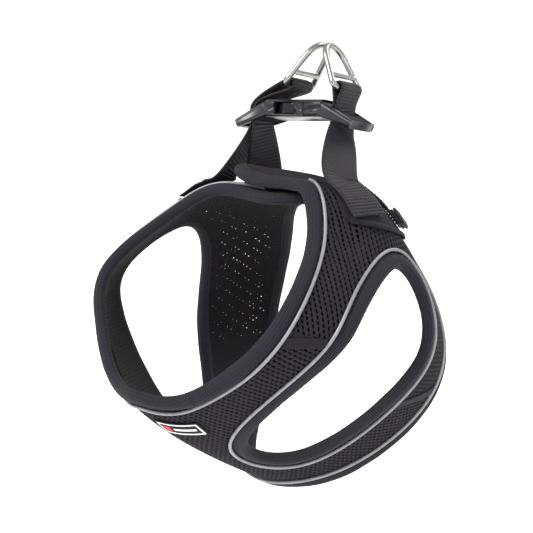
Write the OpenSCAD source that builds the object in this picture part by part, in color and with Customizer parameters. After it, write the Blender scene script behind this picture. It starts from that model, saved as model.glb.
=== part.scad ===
/* [Vest body] */
// Thickness of the mesh panels
panel_t = 3.2; // [2:0.1:4]
// Thickness of the inner lining
lining_t = 0.8; // [0.5:0.1:1.2]
// Width of the puffed knit binding along every edge
binding_w = 8; // [6:0.5:10]
// Thickness of the puffed knit binding
binding_t = 6; // [4.5:0.5:7]
// Diameter of the reflective piping
piping_d = 2; // [1.2:0.1:2.4]
// How far the upper back flap lies above the lower one
flap_lift = 8.4; // [8.2:0.1:9]

/* [Webbing] */
// Width of the webbing
web_w = 20; // [18:0.5:20]
// Thickness of the webbing
web_t = 1.6; // [1.2:0.1:1.8]

/* [Rings] */
// Diameter of the ring's rod
rod_d = 3.2; // [2.6:0.1:3.4]
// Height of the ring from its pivot bar to its crown
ring_h = 24.5; // [22:0.5:26]
// Half length of the straight pivot bar
bar_half = 10.6; // [10.5:0.1:12]
// Lean of each ring towards the other
ring_lean = 30; // [20:1:31]

/* [Buckle] */
// Width of the buckle
buckle_w = 28; // [27:0.5:30]
// Thickness of the buckle's body
buckle_t = 9; // [8.5:0.5:11]
// Play between the plug and the socket
play = 0.35; // [0.3:0.05:0.5]

/* [Top hardware] */
// Turn of the buckle and rings about the vertical
top_yaw = 12; // [10:1:14]
// Fall of the back line towards the rear
top_pitch = 12; // [10:1:14]

/* [Hidden] */

// The two halves of the vest: the near one carries the upper flap
NEAR = 1;
FAR = 0;
// Colours of the mesh, the knit trim and the reflective piping
cloth = [0.1, 0.1, 0.11];
trim = [0.15, 0.15, 0.17];
shine = [0.62, 0.63, 0.66];
// The footprint's middle and lowest point, moved to the origin
seat = [0, 23.8, 13];

// Control curves of one half, from the bottom centre line (index 0) to the top centre line
// (index 6): the neck edge, the line half way back, and the girth edge
neck_curve = [
    [0, -105, 59], [20, -98, 52], [50, -80, 77], [66, -70, 101],
    [49, -33, 125], [30, -17, 143], [0, -21, 135]
];
mid_curve = [
    [0, -76, 21], [34, -62, 37], [81, -35, 72], [90, -11, 86],
    [75, 5, 114], [48, 6, 138], [0, 1, 141]
];
girth_curve = [
    [0, -17, -12], [33, 6, -11], [55, 46, 20], [63, 58, 54],
    [45, 54, 96], [26, 33, 125], [0, 23, 134]
];
// Leg hole outline in surface coordinates: up the side, then front to back
hole_curve = [
    [4.1, 0.47], [3.7, 0.69], [2.2, 0.77], [0.75, 0.85],
    [0.55, 0.64], [1.1, 0.49], [2.35, 0.35], [3.35, 0.28]
];
// Where the outline of a half is, by leg hole position: bottom line 0 to 1, neck edge
// 1 to 2, flap end 2 to 3, girth edge 3 to 4
outline_by_turn = [[3.3, 0], [4.9, 1], [7.3, 2], [8.7, 3], [11.3, 4]];
// Bottom line, start of the flap's rounding and the flap's end, in surface coordinates
u_low = 0.015;
u_flap = [5.9, 5.9];
u_end = [6.65, 6.7];
// Leg hole positions of the two seams between chest and side panels
front_seam = 5.97;
rear_seam = 10.2;
seam_gap = 0.012;

// Distances from an edge, along the surface
panel_inset = binding_w + 1.3;
piping_inset = binding_w + 0.9;
piping_lift = panel_t / 2 + piping_d / 2 + 0.15;
patch_gap = 0.35;
patch_t = 0.8;
lining_drop = panel_t / 2 + lining_t / 2 + 0.7;

function flip(p) = [-p[0], p[1], p[2]];
function unit(p) = p / norm(p);
function mix(a, b, t) = a * (1 - t) + b * t;
function ease(t) = let(s = min(1, max(0, t))) s * s * (3 - 2 * s);
function knot(c, k) = k < 0 ? flip(c[-k]) : k > 6 ? flip(c[12 - k]) : c[k];
function blend4(a, b, c, d, t) = (
    pow(1 - t, 3) * a + (3 * pow(t, 3) - 6 * t * t + 4) * b
    + (-3 * pow(t, 3) + 3 * t * t + 3 * t + 1) * c + pow(t, 3) * d
) / 6;
function spline(c, u) = let(i = floor(u))
    blend4(knot(c, i - 1), knot(c, i), knot(c, i + 1), knot(c, i + 2), u - i);
function surface_at(half, u, v) =
    spline(neck_curve, u) * (1 - v) * (1 - 2 * v)
    + spline(mid_curve, u) * 4 * v * (1 - v)
    + spline(girth_curve, u) * v * (2 * v - 1)
    + half * flap_lift * ease((u - 4) / 1.2) * [0.1, 0, 1];
function normal_at(half, u, v) = let(d = 0.01)
    unit(cross(
        surface_at(half, u, v + d) - surface_at(half, u, v - d),
        surface_at(half, u + d, v) - surface_at(half, u - d, v)
    ));
function raised(half, p, h) = seat + surface_at(half, p[0], p[1]) + h * normal_at(half, p[0], p[1]);

// Leg hole outline at turn f, counted 0 to 8 and round again
function hole_at(f) = let(g = f - 8 * floor(f / 8), i = floor(g))
    blend4(
        hole_curve[(i + 7) % 8], hole_curve[i],
        hole_curve[(i + 1) % 8], hole_curve[(i + 2) % 8], g - i
    );
// Outer outline of a half at s, counted 0 to 4
function squared(c) = sign(c) * pow(abs(c), 0.6);
function outline_at(half, s) =
    s < 1 ? [u_low, 1 - s]
    : s < 2 ? [mix(u_low, u_flap[half], s - 1), 0]
    : s < 3 ? let(a = -90 + 180 * (s - 2))
        [mix(u_flap[half], u_end[half], squared(cos(a))), 0.5 + 0.5 * squared(sin(a))]
    : [mix(u_flap[half], u_low, s - 3), 1];
function turn(f) = f < 3.3 ? f + 8 : f > 11.3 ? f - 8 : f;

// In-surface direction across an edge that runs from a through b to c: side is 1 or -1
function inward(half, a, b, c, side) = side * unit(cross(
    normal_at(half, b[0], b[1]), raised(half, c, 0) - raised(half, a, 0)
));
// Surface coordinates of the point a distance d from p in the surface direction dir, in n steps
function stepped(half, p, dir, d, n = 4) = n == 0 ? p
    : stepped(half, step_once(half, p, dir, d / n), dir, d - d / n, n - 1);
function step_once(half, p, dir, d) = let(
    h = 0.01,
    pu = (surface_at(half, p[0] + h, p[1]) - surface_at(half, p[0] - h, p[1])) / (2 * h),
    pv = (surface_at(half, p[0], p[1] + h) - surface_at(half, p[0], p[1] - h)) / (2 * h),
    det = (pu * pu) * (pv * pv) - (pu * pv) * (pu * pv),
    du = ((pv * pv) * (dir * pu) - (pu * pv) * (dir * pv)) / det,
    dv = ((pu * pu) * (dir * pv) - (pu * pv) * (dir * pu)) / det
) p + d * [du, dv];
function hole_inset(half, f, d) = let(a = hole_at(f - 0.05), b = hole_at(f), c = hole_at(f + 0.05))
    stepped(half, b, inward(half, a, b, c, 1), d);
function outline_inset(half, s, d) = let(
    e = 0.004,
    a = outline_at(half, max(s, 1 + e) - e),
    b = outline_at(half, max(s, 1 + e)),
    c = outline_at(half, max(s, 1 + e) + e),
    q = stepped(half, b, inward(half, a, b, c, -1), d)
) [max(u_low, q[0]), q[1]];
function bottom_inset(half, s, d) = [
    u_low, mix(outline_inset(half, 4 - 0.01, d)[1], outline_inset(half, 1, d)[1], s)
];
// Point on the spoke at turn f, from r = 0 at the leg hole to r = 1 at the outline, inset by d
function spoke(half, f, r, d) = let(s = lookup(turn(f), outline_by_turn)) mix(
    hole_inset(half, f, d), s < 1 ? bottom_inset(half, s, d) : outline_inset(half, s, d), r
);

// Closed skin between two grids of points, outer and inner, with rows of equal length
module skin(outer, inner) {
    rows = len(outer);
    cols = len(outer[0]);
    pts = [for (g = [outer, inner]) for (row = g) for (p = row) p];
    n = rows * cols;
    function at(g, i, j) = g * n + i * cols + j;
    polyhedron(points = pts, convexity = 8, faces = [
        for (i = [0 : rows - 2]) for (j = [0 : cols - 2]) each [
            [at(0, i, j), at(0, i, j + 1), at(0, i + 1, j + 1)],
            [at(0, i, j), at(0, i + 1, j + 1), at(0, i + 1, j)],
            [at(1, i, j), at(1, i + 1, j + 1), at(1, i, j + 1)],
            [at(1, i, j), at(1, i + 1, j), at(1, i + 1, j + 1)]
        ],
        for (i = [0 : rows - 2]) each [
            [at(0, i, 0), at(0, i + 1, 0), at(1, i + 1, 0)],
            [at(0, i, 0), at(1, i + 1, 0), at(1, i, 0)],
            [at(0, i, cols - 1), at(1, i + 1, cols - 1), at(0, i + 1, cols - 1)],
            [at(0, i, cols - 1), at(1, i, cols - 1), at(1, i + 1, cols - 1)]
        ],
        for (j = [0 : cols - 2]) each [
            [at(0, 0, j), at(1, 0, j + 1), at(0, 0, j + 1)],
            [at(0, 0, j), at(1, 0, j), at(1, 0, j + 1)],
            [at(0, rows - 1, j), at(0, rows - 1, j + 1), at(1, rows - 1, j + 1)],
            [at(0, rows - 1, j), at(1, rows - 1, j + 1), at(1, rows - 1, j)]
        ]
    ]);
}

// Tube through rings of points; closed joins the last ring to the first
module tube(rings, closed = false) {
    n = len(rings);
    m = len(rings[0]);
    pts = [for (r = rings) for (p = r) p];
    function at(i, j) = (i % n) * m + (j % m);
    polyhedron(points = pts, convexity = 8, faces = [
        for (i = [0 : closed ? n - 1 : n - 2]) for (j = [0 : m - 1]) each [
            [at(i, j), at(i + 1, j), at(i + 1, j + 1)],
            [at(i, j), at(i + 1, j + 1), at(i, j + 1)]
        ],
        if (!closed) [for (j = [0 : m - 1]) at(0, j)],
        if (!closed) [for (j = [0 : m - 1]) at(n - 1, m - 1 - j)]
    ]);
}

// Spokes of the side and chest panels, from seam to seam, closest where the neck edge bends
flap_turn = 7.3;
side_turns = [
    for (i = [0 : 19]) mix(front_seam + seam_gap, flap_turn, i / 20),
    for (i = [0 : 17]) mix(flap_turn, rear_seam - seam_gap, i / 17)
];
chest_turns = [
    for (i = [0 : 7]) mix(rear_seam + seam_gap, 11.3, i / 8),
    for (i = [0 : 11]) mix(11.3, 12.9, i / 12),
    for (i = [0 : 8]) mix(12.9, front_seam + 8 - seam_gap, i / 8)
];

// Part of a half's surface over the given spokes, between the leg hole's and the outer binding
module surface_panel(half, turns, mid, thick) {
    function layer(h) = [for (f = turns)
        [for (k = [0 : 6]) raised(half, spoke(half, f, k / 6, panel_inset), h)]];
    skin(layer(mid + thick / 2), layer(mid - thick / 2));
}

// Ring of points round an edge roll's centre, where the edge runs from a through b to c
function edge_ring(half, a, b, c, inset, lift, w, h, side, sides) = let(
    n = normal_at(half, b[0], b[1]),
    s = inward(half, a, b, c, side),
    o = raised(half, b, lift) + inset * s
) [for (j = [0 : sides - 1]) let(g = 360 * j / sides)
    o + (w / 2) * cos(g) * s + side * (h / 2) * sin(g) * n];

// Roll along the leg hole
module leg_roll(half, inset, lift, w, h, sides, steps) {
    tube([for (i = [0 : steps - 1]) let(f = 8 * i / steps)
        edge_ring(half, hole_at(f - 0.05), hole_at(f), hole_at(f + 0.05), inset, lift, w, h, 1, sides)],
        closed = true);
}

// Roll along the outer outline from s0 to s1
module outline_roll(half, s0, s1, inset, lift, w, h, sides, steps) {
    e = 0.004;
    tube([for (i = [0 : steps]) let(s = mix(s0, s1, i / steps))
        edge_ring(half, outline_at(half, max(1, s - e)), outline_at(half, s), outline_at(half, min(4, s + e)),
            inset, lift, w, h, -1, sides)]);
}

// One half's cloth pieces: the far half is the same pattern mirrored
module to_side(half) {
    if (half == NEAR) children();
    else mirror([1, 0, 0]) children();
}
module side_panel(half) {
    to_side(half) surface_panel(half, side_turns, 0, panel_t);
}
module chest_panel(half) {
    to_side(half) surface_panel(half, chest_turns, 0, panel_t);
}
module lining(half) {
    to_side(half) surface_panel(half, concat(side_turns, chest_turns), -lining_drop, lining_t);
}
module edge_binding(half, s0, s1, steps) {
    to_side(half) outline_roll(half, s0, s1, binding_w / 2, 0, binding_w, binding_t, 8, steps);
}
module edge_piping(half, s0, s1, steps) {
    to_side(half) outline_roll(half, s0, s1, piping_inset, piping_lift, piping_d, piping_d, 6, steps);
}
module leg_binding(half) {
    to_side(half) leg_roll(half, binding_w / 2, 0, binding_w, binding_t, 8, 40);
}
module leg_piping(half) {
    to_side(half) leg_roll(half, piping_inset, piping_lift, piping_d, piping_d, 6, 40);
}
// Flat tape over a seam, from the leg hole's piping to the outer one
module seam_tape(half, f) {
    inset = piping_inset + 1.4;
    low = panel_t / 2 + patch_gap;
    function row(g, h) = [for (k = [0 : 4]) raised(half, spoke(half, g, k / 4, inset), h)];
    to_side(half) skin(
        [row(f - 0.06, low + 0.7), row(f + 0.06, low + 0.7)],
        [row(f - 0.06, low), row(f + 0.06, low)]
    );
}
// Patch that follows the surface between two corners in surface coordinates
module surface_patch(half, lo, hi, low, thick) {
    function row(u, h) = [for (k = [0 : 5]) raised(half, [u, mix(lo[1], hi[1], k / 5)], h)];
    function layer(h) = [for (i = [0 : 5]) row(mix(lo[0], hi[0], i / 5), h)];
    skin(layer(low), layer(low + thick));
}

// Frame of the buckle and rings: x runs along the buckle, y to the rear
top_at = seat + [0, 26, 178];
module top_frame() {
    translate(top_at) rotate([0, 0, top_yaw]) rotate([-top_pitch, 0, 0]) children();
}
function on_top(p) = let(
    y = p[1] * cos(top_pitch) + p[2] * sin(top_pitch),
    z = -p[1] * sin(top_pitch) + p[2] * cos(top_pitch)
) top_at + [p[0] * cos(top_yaw) - y * sin(top_yaw), p[0] * sin(top_yaw) + y * cos(top_yaw), z];

// Pivot bar's place in the top frame, and the ring's rounded triangle
bar_x = 14.5;
bar_z = 12;
crown_r = 10;
corner_r = 2.6;
crown_at = [0, ring_h - crown_r];
corner_at = [bar_half, corner_r];
leg_span = norm(crown_at - corner_at);
leg_turn = acos((crown_r - corner_r) / leg_span)
    - atan2(crown_at[1] - corner_at[1], corner_at[0] - crown_at[0]);
crossbar_h = 7;
// The bent parts are a little thicker than the straight ones, whose ends run into them
bend_swell = 0.1;
rod_lap = 0.3;

module rod(a, b, d) {
    v = b - a;
    translate([0, a[0], a[1]]) rotate([atan2(v[1], v[0]), 0, 0]) rotate([-90, 0, 0])
        cylinder(h = norm(v), d = d, $fn = 32);
}
module arc_rod(c, r, a0, a1) {
    translate([0, c[0], c[1]]) rotate([90, 0, 90]) rotate([0, 0, a0])
        rotate_extrude(angle = a1 - a0, $fn = 48) translate([r, 0])
            circle(d = rod_d + bend_swell, $fn = 32);
}
// Double-bar ring, standing on its pivot bar in the y-z plane
module ring_shape() {
    top_leg = crown_at + crown_r * [cos(leg_turn), sin(leg_turn)];
    low_leg = corner_at + corner_r * [cos(leg_turn), sin(leg_turn)];
    cross_y = low_leg[0] + (top_leg[0] - low_leg[0]) * (crossbar_h - low_leg[1]) / (top_leg[1] - low_leg[1]);
    lap = rod_lap * (top_leg - low_leg) / norm(top_leg - low_leg);
    rod([-bar_half - rod_lap, 0], [bar_half + rod_lap, 0], rod_d);
    for (m = [0, 1]) mirror([0, m, 0]) {
        rod(low_leg - lap, top_leg + lap, rod_d);
        arc_rod(corner_at, corner_r, -90, leg_turn);
    }
    arc_rod(crown_at, crown_r, leg_turn, 180 - leg_turn);
    rod([-cross_y, crossbar_h], [cross_y, crossbar_h], rod_d * 0.85);
}
module ring(side) {
    color("silver") top_frame() translate([side * bar_x, 0, bar_z])
        rotate([0, -side * ring_lean, 0]) ring_shape();
}

// Flat band through centre points, each with its across direction
function band_normal(pts, across, i) = let(
    a = pts[max(0, i - 1)],
    b = pts[min(len(pts) - 1, i + 1)]
) unit(cross(across[i], b - a));
module band(pts, across, w, t) {
    function edge(i, s, h) = pts[i] + s * (w / 2) * unit(across[i]) + h * band_normal(pts, across, i);
    function layer(h) = [for (i = [0 : len(pts) - 1]) [edge(i, -1, h), edge(i, 1, h)]];
    skin(layer(-t / 2), layer(t / 2));
}

// Places in the buckle's own frame, measured from the mating face between its halves
buckle_at = [-2, 0, 0];
buckle_tilt = 4;
socket_l = 23;
plug_l = 13;
arm_root = [2.6, 7.6];
arm_r = 1.5;
arm_t = 5;
shoulder_x = -5;
cavity = [20, 22.8, 6.4];
module buckle_frame() {
    top_frame() translate(buckle_at) rotate([0, -buckle_tilt, 0]) children();
}
// Block with rounded long edges, from x0 to x1
module soft_block(x0, x1, w, t, r) {
    hull() for (s = [-1, 1]) for (k = [-1, 1])
        translate([x0, s * (w / 2 - r), k * (t / 2 - r)]) rotate([0, 90, 0])
            cylinder(h = x1 - x0, r = r, $fn = 24);
}
// End bar of a half: a flat loop that holds the webbing, from the body's face outwards
module end_loop(length, slot_from, slot_to) {
    difference() {
        hull() {
            translate([-0.5, 0, 0]) soft_block(0, 2, buckle_w, buckle_t - 1.5, 2);
            translate([length - 3, 0, 0]) soft_block(0, 3, buckle_w - 3, 4.6, 2);
        }
        translate([slot_from, -web_w / 2 - 0.7, -buckle_t])
            cube([slot_to - slot_from, web_w + 1.4, 2 * buckle_t]);
    }
}
far_slot = [6.6, 14.2];
near_slot = [4.3, 11.5];
module buckle_socket() {
    color([0.06, 0.06, 0.07]) buckle_frame() difference() {
        union() {
            soft_block(-socket_l, 0, buckle_w, buckle_t, 3);
            translate([-socket_l + 0.6, 0, 0]) rotate([0, -22, 0])
                mirror([1, 0, 0]) end_loop(20, far_slot[0], far_slot[1]);
        }
        translate([-cavity[0], -cavity[1] / 2, -cavity[2] / 2]) cube([cavity[0] + 1, cavity[1], cavity[2]]);
        translate([-17.5, -buckle_w, -cavity[2] / 2]) cube([17.5 + shoulder_x, 2 * buckle_w, cavity[2]]);
    }
}
module buckle_plug() {
    color([0.07, 0.07, 0.08]) buckle_frame() {
        difference() {
            union() {
                soft_block(play, plug_l - 2.5, buckle_w, buckle_t, 3);
                translate([plug_l - 4.5, 0, 0]) rotate([0, 24, 0]) end_loop(20, near_slot[0], near_slot[1]);
            }
            for (s = [-1, 1]) translate([arm_root[0], s * arm_root[1], -arm_t / 2 - play]) {
                cylinder(h = arm_t + 2 * play, r = arm_r + 0.08, $fn = 48);
                translate([-arm_root[0] - 1, -arm_r - 0.4, 0])
                    cube([arm_root[0] + 1.2, 2 * arm_r + 0.8, arm_t + 2 * play]);
            }
        }
        translate([-16, -2, -2.6]) cube([16 + 2 * play, 4, 5.2]);
    }
}
// Springy side arm: side is -1 at the front, 1 at the rear
module buckle_arm(side) {
    color([0.05, 0.05, 0.06]) buckle_frame() mirror([0, side < 0 ? 1 : 0, 0])
        translate([0, 0, -arm_t / 2]) union() {
            translate(arm_root) cylinder(h = arm_t, r = arm_r, $fn = 48);
            linear_extrude(arm_t) polygon([
                [arm_root[0], arm_root[1] - 1.2], [arm_root[0], arm_root[1] + 1.2],
                [shoulder_x - play, 10.2], [shoulder_x - play, 12.8], [-8, 13.2],
                [-13, 12.4], [-16.5, 9.8], [-16.5, 7.6], [-8, 7.9]
            ]);
        }
}

// Webbing of one side: sewn front foot, up through the buckle, round the ring's bar, and down
// to the rear foot. side is 1 at the near half and -1 at the far half.
web_lift = panel_t / 2 + patch_gap + patch_t + 0.2 + web_t / 2;
foot_u = [4.72, 4.86];
front_v = 0.36;
rear_v = 0.76;
foot_out = 0.3;
front_reach = [0.38, 0.27];
rear_reach = [0.38, 0.44];
loop_r = rod_d / 2 + 0.35 + web_t / 2;
ply = web_t / 2 + 0.15;
function sided(half, p) = half == NEAR ? p : flip(p);
function foot(half, du, v) = sided(half, raised(half, [foot_u[half] + du, v], web_lift));
function foot_across(half, v) = sided(half, unit(
    raised(half, [foot_u[half], v + 0.05], 0) - raised(half, [foot_u[half], v - 0.05], 0)
));
module webbing(half) {
    s = half == NEAR ? 1 : -1;
    slot = half == NEAR ? [14, 0, -2] : [-33.9, 0, -6.1];
    wrap = half == NEAR ? [-20, 200] : [52, 242];
    top_across = on_top([0, 1, 0]) - on_top([0, 0, 0]);
    function in_slot(d, k) = on_top(slot + [s * k * ply, 0, d]);
    function laid(reach, v, part) = foot(half, mix(-foot_out, reach, part), v)
        + [0, 0, part == 1 ? 1.5 : 0];
    outer = [for (part = [0, 0.4, 0.75, 1]) laid(front_reach[half], front_v, part)];
    inner = [for (part = [1, 0.75, 0.4, 0]) laid(rear_reach[half], rear_v, part)];
    around = [for (i = [0 : 6]) let(a = mix(wrap[0], wrap[1], i / 6))
        on_top([s * (bar_x + loop_r * cos(a)), 0, bar_z + loop_r * sin(a)])];
    up = [in_slot(-5.5, 1), in_slot(6.5, 1)];
    down = [in_slot(6.5, -1), in_slot(-5.5, -1)];
    fa = foot_across(half, front_v);
    ra = foot_across(half, rear_v);
    pts = concat(outer, up, around, down, inner);
    across = concat(
        [for (i = [0 : 3]) fa], [for (i = [0 : len(around) + 3]) top_across], [for (i = [0 : 3]) ra]
    );
    color([0.09, 0.09, 0.1]) band(pts, across, web_w, web_t);
}
// Smooth patch under the webbing's feet
module strap_patch(half) {
    color([0.12, 0.12, 0.13]) to_side(half)
        surface_patch(half, [foot_u[half] - 0.42, front_v - 0.16],
            [foot_u[half] + rear_reach[half] + 0.06, rear_v + 0.12], panel_t / 2 + patch_gap, patch_t);
}
// Folded end of the webbing, stitched on top of the rear foot
module strap_tab(half) {
    low = web_lift + web_t / 2 + 0.7;
    u = foot_u[half] - foot_out;
    color([0.08, 0.08, 0.09]) to_side(half)
        surface_patch(half, [u - 0.02, rear_v - 0.11], [u + 0.14, rear_v + 0.11], low, 2.2);
}
// Hook and loop between the overlapping flaps
module fastener_patch(half, low) {
    color([0.16, 0.16, 0.17]) to_side(half)
        surface_patch(half, [5.75, 0.32], [6.25, 0.68], low, 0.9);
}
module label() {
    low = panel_t / 2 + patch_gap;
    color([0.93, 0.93, 0.94]) surface_patch(NEAR, [0.03, 0.3], [0.55, 0.44], low, 0.6);
}

module near_side_panel() { color(cloth) side_panel(NEAR); }
module near_chest_panel() { color(cloth) chest_panel(NEAR); }
module near_lining() { color(trim) lining(NEAR); }
module near_neck_binding() { color(trim) edge_binding(NEAR, 1, 2 - 0.004, 24); }
module near_flap_binding() { color(trim) edge_binding(NEAR, 2 + 0.004, 3 - 0.004, 12); }
module near_girth_binding() { color(trim) edge_binding(NEAR, 3 + 0.004, 4, 24); }
module near_leg_binding() { color(trim) leg_binding(NEAR); }
module near_neck_piping() { color(shine) edge_piping(NEAR, 1, 2, 24); }
module near_girth_piping() { color(shine) edge_piping(NEAR, 3, 4, 24); }
module near_leg_piping() { color(shine) leg_piping(NEAR); }
module near_front_seam_tape() { color(cloth) seam_tape(NEAR, front_seam); }
module near_rear_seam_tape() { color(cloth) seam_tape(NEAR, rear_seam); }
module near_strap_patch() { strap_patch(NEAR); }
module near_webbing() { webbing(NEAR); }
module near_strap_tab() { strap_tab(NEAR); }
module near_ring() { ring(1); }

module far_side_panel() { color(cloth) side_panel(FAR); }
module far_chest_panel() { color(cloth) chest_panel(FAR); }
module far_lining() { color(trim) lining(FAR); }
module far_neck_binding() { color(trim) edge_binding(FAR, 1, 2 - 0.004, 24); }
module far_flap_binding() { color(trim) edge_binding(FAR, 2 + 0.004, 3 - 0.004, 12); }
module far_girth_binding() { color(trim) edge_binding(FAR, 3 + 0.004, 4, 24); }
module far_leg_binding() { color(trim) leg_binding(FAR); }
module far_neck_piping() { color(shine) edge_piping(FAR, 1, 2, 24); }
module far_girth_piping() { color(shine) edge_piping(FAR, 3, 4, 24); }
module far_leg_piping() { color(shine) leg_piping(FAR); }
module far_front_seam_tape() { color(cloth) seam_tape(FAR, front_seam); }
module far_rear_seam_tape() { color(cloth) seam_tape(FAR, rear_seam); }
module far_strap_patch() { strap_patch(FAR); }
module far_webbing() { webbing(FAR); }
module far_strap_tab() { strap_tab(FAR); }
module far_ring() { ring(-1); }

module hook_patch() { fastener_patch(NEAR, -lining_drop - lining_t / 2 - 0.6 - 0.9); }
module loop_patch() { fastener_patch(FAR, panel_t / 2 + patch_gap); }
module buckle_arm_front() { buckle_arm(-1); }
module buckle_arm_rear() { buckle_arm(1); }
module chest_label() { label(); }

near_side_panel();
near_chest_panel();
near_lining();
near_neck_binding();
near_flap_binding();
near_girth_binding();
near_leg_binding();
near_neck_piping();
near_girth_piping();
near_leg_piping();
near_front_seam_tape();
near_rear_seam_tape();
near_strap_patch();
near_webbing();
near_strap_tab();
near_ring();
far_side_panel();
far_chest_panel();
far_lining();
far_neck_binding();
far_flap_binding();
far_girth_binding();
far_leg_binding();
far_neck_piping();
far_girth_piping();
far_leg_piping();
far_front_seam_tape();
far_rear_seam_tape();
far_strap_patch();
far_webbing();
far_strap_tab();
far_ring();
hook_patch();
loop_patch();
buckle_socket();
buckle_plug();
buckle_arm_front();
buckle_arm_rear();
chest_label();
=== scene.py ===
"""Step-in mesh harness vest: the cloth, trim, webbing and materials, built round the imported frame.

Every cloth piece lies on one surface, the vest's pattern, which the CAD source states by three
control curves. Lengths are in millimetres until a mesh is made.
"""
import math
import bpy
import numpy as np
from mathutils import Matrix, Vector
from mathutils.bvhtree import BVHTree


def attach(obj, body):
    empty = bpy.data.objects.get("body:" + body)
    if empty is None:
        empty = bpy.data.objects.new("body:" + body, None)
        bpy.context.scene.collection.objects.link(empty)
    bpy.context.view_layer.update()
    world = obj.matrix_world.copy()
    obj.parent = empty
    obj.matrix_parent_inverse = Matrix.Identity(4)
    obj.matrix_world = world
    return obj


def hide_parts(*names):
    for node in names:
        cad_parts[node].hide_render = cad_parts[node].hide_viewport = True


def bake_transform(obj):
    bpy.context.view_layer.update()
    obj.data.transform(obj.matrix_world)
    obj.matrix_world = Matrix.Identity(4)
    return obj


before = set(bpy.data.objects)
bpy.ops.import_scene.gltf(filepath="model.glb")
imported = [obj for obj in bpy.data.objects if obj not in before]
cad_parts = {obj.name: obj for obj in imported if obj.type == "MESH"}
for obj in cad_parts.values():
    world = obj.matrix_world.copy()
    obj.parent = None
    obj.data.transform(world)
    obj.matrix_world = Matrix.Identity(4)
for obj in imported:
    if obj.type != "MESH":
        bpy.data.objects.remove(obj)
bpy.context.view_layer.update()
MM = 0.001

# ---------------------------------------------------------------- the vest's pattern
NEAR, FAR, WHOLE = "near", "far", "whole"
SIDE = {NEAR: 1, FAR: -1, WHOLE: 1}
BODY = {NEAR: "near_half", FAR: "far_half"}
SEAT = np.array([0, 23.8, 13.0])
FLAP_LIFT = 8.4
FLAP_END = {NEAR: 6.7, FAR: 6.65}
FLAP_START = 5.9
FRONT_SEAM, REAR_SEAM = 5.97, 10.2
NECK_CURVE = [
    (0, -105, 59), (20, -98, 52), (50, -80, 77), (66, -70, 101),
    (49, -33, 125), (30, -17, 143), (0, -21, 135),
]
MID_CURVE = [
    (0, -76, 21), (34, -62, 37), (81, -35, 72), (90, -11, 86),
    (75, 5, 114), (48, 6, 138), (0, 1, 141),
]
GIRTH_CURVE = [
    (0, -17, -12), (33, 6, -11), (55, 46, 20), (63, 58, 54),
    (45, 54, 96), (26, 33, 125), (0, 23, 134),
]
HOLE_CURVE = np.array([
    (4.1, 0.47), (3.7, 0.69), (2.2, 0.77), (0.75, 0.85),
    (0.55, 0.64), (1.1, 0.49), (2.35, 0.35), (3.35, 0.28),
])
OUTLINE_BY_TURN = [(3.3, 0), (4.9, 1), (7.3, 2), (8.7, 3), (11.3, 4)]

BINDING_W, BINDING_T = 8.0, 6.0
PANEL_T, PIPING_D = 3.2, 1.7
RIB_PITCH = 1.9            # between the webbing's cross ribs
PIPING_INSET = BINDING_W + 0.9
PIPING_LIFT = PANEL_T / 2 + PIPING_D / 2 - 0.2
CLOTH_INSET = 4.5          # how far from an edge the mesh ends, inside the binding
LINING_H = -2.6            # height of the lining's inner face
SEAM_LIFT = PANEL_T / 2 + 0.2


def extended(curve):
    """Control points for k = -3 to 12, mirrored past the bottom and top centre lines."""
    c, flip = np.array(curve, float), np.array([-1, 1, 1.0])
    return np.array([c[-k] * flip if k < 0 else c[12 - k] * flip if k > 6 else c[k]
                     for k in range(-3, 13)])


CURVES = [extended(c) for c in (NECK_CURVE, MID_CURVE, GIRTH_CURVE)]


def blend4(points, t):
    """Uniform cubic B-spline through four rows of control points."""
    t = t[..., None]
    return ((1 - t) ** 3 * points[0] + (3 * t**3 - 6 * t**2 + 4) * points[1]
            + (-3 * t**3 + 3 * t**2 + 3 * t + 1) * points[2] + t**3 * points[3]) / 6


def spline(curve, u):
    i = np.floor(u).astype(int)
    return blend4([curve[i + 3 + k] for k in (-1, 0, 1, 2)], u - i)


def ease(t):
    t = np.clip(t, 0, 1)
    return t * t * (3 - 2 * t)


def flat_surface(half, uv):
    """Pattern points before mirroring, with the near flap's lift and a slight drape."""
    u, v = np.asarray(uv, float)[..., 0], np.asarray(uv, float)[..., 1]
    w = v[..., None]
    p = (spline(CURVES[0], u) * (1 - w) * (1 - 2 * w) + spline(CURVES[1], u) * 4 * w * (1 - w)
         + spline(CURVES[2], u) * w * (2 * w - 1))
    if half == NEAR:
        p = p + (FLAP_LIFT * ease((u - 4) / 1.2))[..., None] * np.array([0.1, 0, 1])
    return p + SEAT


def surface(half, uv, height=0.0):
    """Points of the cloth at (u, v), raised along the outward normal."""
    uv = np.asarray(uv, float)
    mirror = np.array([SIDE[half], 1, 1])
    p = flat_surface(half, uv)
    h = np.asarray(height, float)
    if h.ndim or h != 0:
        p = p + h[..., None] * (normal(half, uv) * mirror)
    return p * mirror


def unit(v):
    return v / np.maximum(np.linalg.norm(v, axis=-1, keepdims=True), 1e-9)


def partial(half, uv, axis, d=0.01):
    step = np.zeros(2)
    step[axis] = d
    return (flat_surface(half, uv + step) - flat_surface(half, uv - step)) / (2 * d)


def normal(half, uv):
    """Outward unit normal, on the side that half is on."""
    uv = np.asarray(uv, float)
    return unit(np.cross(partial(half, uv, 1), partial(half, uv, 0))) * np.array([SIDE[half], 1, 1])


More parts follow.
